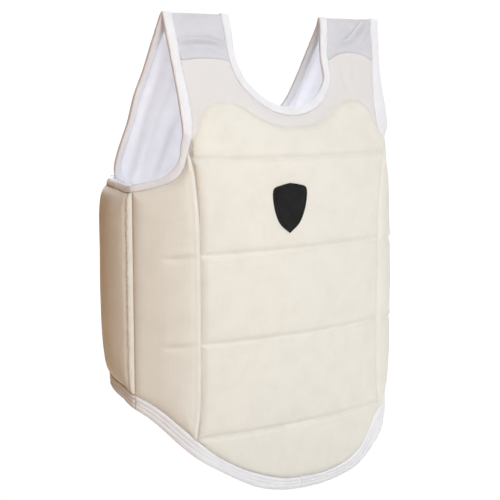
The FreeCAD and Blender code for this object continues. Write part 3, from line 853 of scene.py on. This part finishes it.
def build_armholes():
    for label, side in SIDES:
        outer = yoke_edge()
        inner = inset_line(outer, 9.5 * MM)
        inner[:, 0] -= 3 * MM * smooth(outer[:, 1], PEAK_Z + 60 * MM, PEAK_Z)
        inner[0, 1] = PEAK_Z
        behind = np.hstack([inner, outer])
        front_rows = flowing(np.array(ARM_STRAP + ARM_FRONT + ARM_SIDE) * MM, 2.5 * MM)
        if side == LEFT:
            past = front_rows[:, 1] - 448 * MM
            front_rows[:, 2] += ARM_SWELL * peak(past, np.where(past > 0, 52 * MM, 34 * MM))
        wing_rows = flowing(np.vstack([front_rows[-1:], np.array(ARM_WING) * MM]), 2.5 * MM)
        wing_rows = wing_rows[wing_rows[:, 0] < FOLD_S + WING_SEAM_END + 1 * MM]
        stations = np.vstack([behind[::-1], front_rows[1:], wing_rows[1:]]) * [side, 1, side, 1]
        rings = tape_rings(stations, half=2.7 * MM, ridges=0, seed=31.0 + side)
        peak_cut = len(behind) - 1
        hem_cut = peak_cut - int(np.argmin(np.abs(outer[:, 1] - over(0.372))))
        fold_cut = peak_cut + len(front_rows) - 1
        bend = [f"front_armhole_binding_{label}", f"side_armhole_binding_{label}"]
        parts = [
            ("yoke_hem_tape", (0, hem_cut), ["yoke_hem_binding"], yoke_blend),
            ("yoke_armhole_tape", (hem_cut, peak_cut), [f"yoke_armhole_binding_{label}"], yoke_blend),
            ("armhole_tape", (peak_cut, fold_cut), bend, armhole_blend),
            ("wing_top_tape", (fold_cut, len(stations) - 1), [f"wing_top_binding_{label}"], wing_blend)]
        for name, stretch, nodes, blend in parts:
            for piece in taped(name, label, rings, stations, stretch, (0.12, 2.6 * MM), nodes):
                blend(piece, label, side)


def build_neck():
    front = neck_stations()
    edge = flowing(YOKE_NECK, 2.5 * MM)
    seam = inset_line(edge, -10 * MM)
    seam[:, 0] += 1.0 * MM * smooth(edge[:, 1], PEAK_Z + 50 * MM, PEAK_Z)
    seam[0, 1] = PEAK_Z
    half = np.hstack([seam, edge])
    behind = np.vstack([half, half[-2::-1] * [-1, 1, -1, 1]])
    stations = np.vstack([front[::-1], behind[1:]])
    rings = tape_rings(stations, half=2.5 * MM, ridges=1, seed=4.0)
    cut = len(front) - 1
    strip = tape_piece("neck_tape", rings[:cut + 2], WHITE, tuck=True)
    stand_in(strip, "binding", "neck_binding")
    back = tape_piece("yoke_neck_tape", rings[cut:], WHITE)
    stand_in(back, "binding", "yoke_neck_binding")
    yoke_blend(back)
    thread = stitch_row("neck_stitches", stations[:cut + 1], 0.1, 2.4 * MM)
    for piece in (strip, thread):
        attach(piece, "front")


# --- straps and yoke ---

STRAP_HALF = 1.3 * MM
# Each strap's creases: a line of (s, t), the crease's width and its height, in millimetres.
STRAP_CREASES = {
    RIGHT: [([(148, 546), (120, 547), (98, 545), (80, 536)], 3.0, 5.0),
            ([(148, 538), (120, 540), (96, 538), (82, 530)], 2.8, -3.8),
            ([(140, 566), (118, 570), (95, 566)], 7, 2.5)],
    LEFT: [([(140, 577), (131, 567), (116, 553), (98, 547)], 3.4, -8.5),
           ([(149, 577), (141, 565), (127, 549)], 4.2, 4.5)]}


def strap_folds(flat, seed):
    """Soft folds of loose cloth: mostly across the strap near the fold, down the yoke."""
    past = flat[:, 1] - PEAK_Z
    across = wobble(flat, (60 * MM, 13 * MM), seed) * np.exp(-np.abs(past + 25 * MM) / (30 * MM))
    down = wobble(flat, (17 * MM, 140 * MM), seed + 4) * np.clip(past / (60 * MM), 0, 1)
    return 0.9 * MM * across + 5.5 * MM * down


def build_strap(label, side):
    arm = flowing(np.array(ARM_STRAP + ARM_FRONT[:2]) * MM, 2.5 * MM)[:, :2]
    cuff_z, cuff_rise = CUFF[side]
    neck = neck_stations()[:, :2]
    neck = neck[:len(neck) // 2] if side == LEFT else neck[:len(neck) // 2:-1] * [-1, 1]
    neck = neck[neck[:, 1] > cuff_z]
    arm = arm[arm[:, 1] > cuff_z]
    x = np.linspace(arm[-1, 0], neck[-1, 0], 24)[1:-1]
    across = (x - x.mean()) / (x.max() - x.min()) * 2
    cuff = np.stack([x, cuff_z + cuff_rise * (1 - np.abs(across) ** 2.5)], -1)
    outline = np.vstack([arm, cuff, neck[::-1]])
    flat, faces = triangulated(outline)
    nearest = rim_distance(flat, outline)
    folds = strap_folds(flat, 40.0 + side) * np.clip((PEAK_Z - flat[:, 1]) / (8 * MM), 0, 1)
    folds = folds * np.clip(nearest / (6 * MM), 0, 1)
    for line, width, height in STRAP_CREASES[side]:
        folds += crease(flat, line, width, height)
    to_cuff, _ = segment_distance(flat, cuff)
    overlap = 2.2 * MM * peak(to_cuff, 11 * MM)
    strap = shell(f"shoulder_strap_cloth_{label}", flat * [side, 1], faces, cloth,
                  folds + overlap + STRAP_HALF, folds - STRAP_HALF, STRAP_WITH_PAINTED_SHADE)
    stand_in(strap, "strap", f"shoulder_strap_{label}")
    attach(strap, "front")


def build_yoke():
    edge = yoke_edge()
    inner = inset_line(edge, 9.0 * MM)
    inner[0, 1] = PEAK_Z
    neck = inset_line(flowing(YOKE_NECK, 2.5 * MM), -9.5 * MM)
    neck[0, 1] = PEAK_Z
    half = np.vstack([inner[::-1], neck])
    outline = np.vstack([half, (half[1:-1] * [-1, 1])[::-1]])
    flat, faces = triangulated(outline)
    nearest = rim_distance(flat, outline)
    folds = strap_folds(flat, 50.0) * np.clip(nearest / (8 * MM), 0, 1)
    yoke = shell("yoke_cloth", flat, faces, cloth, folds + STRAP_HALF, folds - STRAP_HALF, YOKE_CLOTH)
    stand_in(yoke, "lining", "yoke_panel")
    yoke_blend(yoke)


# --- emblem ---

def build_emblem():
    centre = (low("chest_emblem") + high("chest_emblem")) / 2
    wide, tall = (high("chest_emblem") - low("chest_emblem"))[[0, 2]]
    x, z = centre[0], centre[2]
    shape = [(0, 1), (0.5, 0.93), (1, 0.76), (0.97, 0.1), (0.62, -0.58), (0, -1)]
    right = flowing([(x + wide / 2 * across, z + tall / 2 * up) for across, up in shape], 1.5 * MM)
    left = (right - [x, 0]) * [-1, 1] + [x, 0]
    outline = np.vstack([right, left[::-1][1:-1]])
    flat, faces = triangulated(outline, step=1.0 * MM)
    nearest = rim_distance(flat, outline)
    top = 1.6 * MM + 0.7 * MM * (1 - np.exp(-nearest / (0.8 * MM)))
    top -= 0.8 * MM * peak(nearest - 3.2 * MM, 0.7 * MM)
    badge = shell("chest_emblem_patch", flat, faces, front_surface, top, 0.3 * MM, BLACK)
    stand_in(badge, "emblem", "chest_emblem")
    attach(badge, "front")


# --- closure ---

def ribbon(name, path, z_low, z_high, half, material):
    """A flat band on edge that follows a plan path, with slightly thicker selvedges."""
    tangent = unit(np.gradient(path, axis=0))
    normal = np.stack([tangent[:, 1], -tangent[:, 0]], -1)
    z = np.linspace(z_low, z_high, 21)
    edge = np.minimum(z - z_low, z_high - z)
    swell = half * (1 + 0.35 * peak(edge - 2 * MM, 1.5 * MM))
    swell = swell * np.sqrt(np.clip((edge + 0.4 * MM) / (1.2 * MM), 0, 1))
    aside = np.concatenate([swell, -swell[::-1]])[None, :, None]
    plan = path[:, None] + normal[:, None] * aside
    heights = np.broadcast_to(np.concatenate([z, z[::-1]])[None, :, None], plan.shape[:2] + (1,))
    return tape_piece(name, np.concatenate([plan, heights], 2), material)


def wing_path(start_a, end_a, lift, side):
    a = np.linspace(start_a, end_a, 16)
    return wing_surface(a, QUILT_Z[1], lift)[:, :2] * [side, 1]


def build_band(level, z_low, z_high):
    anchor = wing_path(WING_LONG - 16 * MM, WING_LONG + 1 * MM, CORE - 4 * MM, RIGHT)
    straight = np.stack([np.linspace(-134 * MM, BAND_END_X, 60), np.full(60, BAND_Y)], -1)
    path = flowing(np.vstack([anchor[::3], straight[::6], straight[-1:]]), 4 * MM)
    band = ribbon(f"{level}_elastic_band_cloth", path, z_low, z_high, 1.1 * MM, ELASTIC)
    stand_in(band, "elastic", f"{level}_elastic_band")
    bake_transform(band)


def build_closure(level):
    """A band sewn under a patch in the right wing; its hook tab lies on the left wing's loop pile."""
    z_low, z_high = low(f"{level}_elastic_band")[2], high(f"{level}_elastic_band")[2]
    build_band(level, z_low, z_high)
    under = wing_path(WING_LONG - 36 * MM, WING_LONG - 10 * MM, -THICK - 0.9 * MM, RIGHT)
    patch = ribbon(f"{level}_anchor_cloth", under, z_low - 2 * MM, z_high + 2 * MM, 0.7 * MM, WHITE)
    stand_in(patch, "strap", f"{level}_band_anchor_patch")
    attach(patch, "wing_right")
    pile = wing_path(math.radians(24) * WING_R, WING_LONG - 9 * MM, 0.7 * MM, LEFT)
    loop = ribbon(f"{level}_loop_pile", pile, z_low, z_high, 0.8 * MM, LOOP)
    stand_in(loop, "loop", f"{level}_loop_patch")
    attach(loop, "wing_left")
    arc = wing_path(math.radians(30) * WING_R, math.radians(53) * WING_R, 2.6 * MM, LEFT)
    bridge = [(150 * MM, BAND_Y - 0.5 * MM), (142 * MM, BAND_Y), (BAND_END_X + 1.5 * MM, BAND_Y)]
    path = flowing(np.vstack([arc[::3], bridge]), 3 * MM)
    tab = ribbon(f"{level}_hook_tab_cloth", path, z_low + 3 * MM, z_high - 3 * MM, 1.0 * MM, HOOK)
    stand_in(tab, "hook_tape", f"{level}_hook_tab")
    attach(tab, f"{level}_tab")


# --- stage ---

BRIGHT_PAPER, DUSK_PAPER = (0.78, 0.76, 0.73), (0.50, 0.29, 0.13)
BRIGHT_ROOM, DUSK_ROOM = (1.0, 0.97, 0.93), (0.60, 0.34, 0.14)
TOWARD_DUSK = (-0.965, 0.26, 0.0)    # the room's warm, dim side, beside the near wing


def toward_dusk(tree, place, start, end):
    """0 on the bright side of the room, 1 on its dim side; place is the socket of a direction."""
    toward = add_node(tree, "VectorMath", operation="DOT_PRODUCT")
    toward.inputs[1].default_value = TOWARD_DUSK
    share = add_node(tree, "MapRange", From_Min=start, From_Max=end)
    tree.links.new(place, toward.inputs[0])
    tree.links.new(toward.outputs["Value"], share.inputs[0])
    return share.outputs[0]


def paper_material():
    """Pale paper; the camera sees it evenly lit, the vest sees its shaded colours."""
    paper = bpy.data.materials.new("pale_paper")
    paper.use_nodes = True
    tree = paper.node_tree
    shader = tree.nodes["Principled BSDF"]
    shader.inputs["Roughness"].default_value = 0.9
    dusk = toward_dusk(tree, add_node(tree, "TexCoord").outputs["Object"], 0.14, 0.52)
    tree.links.new(mixed_colour(tree, dusk, BRIGHT_PAPER, DUSK_PAPER), shader.inputs["Base Color"])
    add_relief(tree, add_node(tree, "TexNoise", Scale=60.0).outputs["Fac"], shader, Strength=0.05)
    glow = add_node(tree, "Emission", Strength=1.06)
    share = add_node(tree, "Math", operation="MULTIPLY")
    share.inputs[1].default_value = 0.90
    tree.links.new(add_node(tree, "LightPath").outputs["Is Camera Ray"], share.inputs[0])
    show_mix(tree, share.outputs[0], shader.outputs[0], glow.outputs[0], "Material Output")
    return paper


def build_stage():
    """A pale sheet under and behind the vest, bent up behind it."""
    start, bend, wide = 1.6, 1.2, 9.0
    profile = [(-6.0, 0.0), (start, 0.0)]
    for turn in np.linspace(0.1, math.pi / 2, 14):
        profile.append((start + bend * math.sin(turn), bend * (1 - math.cos(turn))))
    profile += [(start + bend, 8.0)]
    ahead = np.array([math.sin(CAMERA_TURN), math.cos(CAMERA_TURN), 0])
    aside = np.array([math.cos(CAMERA_TURN), -math.sin(CAMERA_TURN), 0])
    points = [ahead * along + aside * across + [0, 0, up - 7 * MM]
              for along, up in profile for across in (-wide, wide)]
    faces = [(2 * k, 2 * k + 1, 2 * k + 3, 2 * k + 2) for k in range(len(profile) - 1)]
    make_object("floor", points, faces, paper_material())


def area_light(name, place, target, size, power, colour):
    data = bpy.data.lights.new(name, "AREA")
    data.energy, data.size, data.color = power, size, colour
    lamp = bpy.data.objects.new(name, data)
    lamp.location = place
    lamp.rotation_euler = (Vector(target) - Vector(place)).to_track_quat("-Z", "Y").to_euler()
    bpy.context.scene.collection.objects.link(lamp)


def build_light():
    area_light("key", (-0.78, -2.5, 1.75), (0, 0, 0.3), size=0.9, power=57, colour=(0.98, 0.99, 1.0))
    area_light("back", (1.15, 1.8, 2.2), (0, 0, 0.35), size=1.2, power=84, colour=(0.97, 0.98, 1.0))
    world = bpy.data.worlds.new("studio")
    bpy.context.scene.world = world
    world.use_nodes = True
    tree = world.node_tree
    room = tree.nodes["Background"]
    room.inputs[1].default_value = 0.40
    dusk = toward_dusk(tree, add_node(tree, "TexCoord").outputs["Generated"], 0.1, 0.65)
    tree.links.new(mixed_colour(tree, dusk, BRIGHT_ROOM, DUSK_ROOM), room.inputs[0])
    backdrop = add_node(tree, "Background", Color=(1, 1, 1, 1))
    seen = add_node(tree, "LightPath").outputs["Is Camera Ray"]
    show_mix(tree, seen, room.outputs[0], backdrop.outputs[0], "World Output")
    bpy.context.scene.view_settings.view_transform = "Standard"


def build_camera():
    data = bpy.data.cameras.new("camera")
    data.sensor_width = 36
    data.angle = math.radians(23.88)
    data.clip_start = 0.05
    camera = bpy.data.objects.new("camera", data)
    camera.location = (-0.880, -1.2222, 0.5085)
    level, tilt = math.cos(CAMERA_TILT), math.sin(CAMERA_TILT)
    ahead = Vector((math.sin(CAMERA_TURN) * level, math.cos(CAMERA_TURN) * level, -tilt))
    camera.rotation_euler = ahead.to_track_quat("-Z", "Y").to_euler()
    bpy.context.scene.collection.objects.link(camera)
    bpy.context.scene.camera = camera


build_front()
for label, side in SIDES:
    build_side(label, side)
    build_wing(label, side)
    build_strap(label, side)
build_hem()
build_armholes()
build_neck()
build_yoke()
build_emblem()
for level in ("upper", "lower"):
    build_closure(level)
build_stage()
build_light()
build_camera()
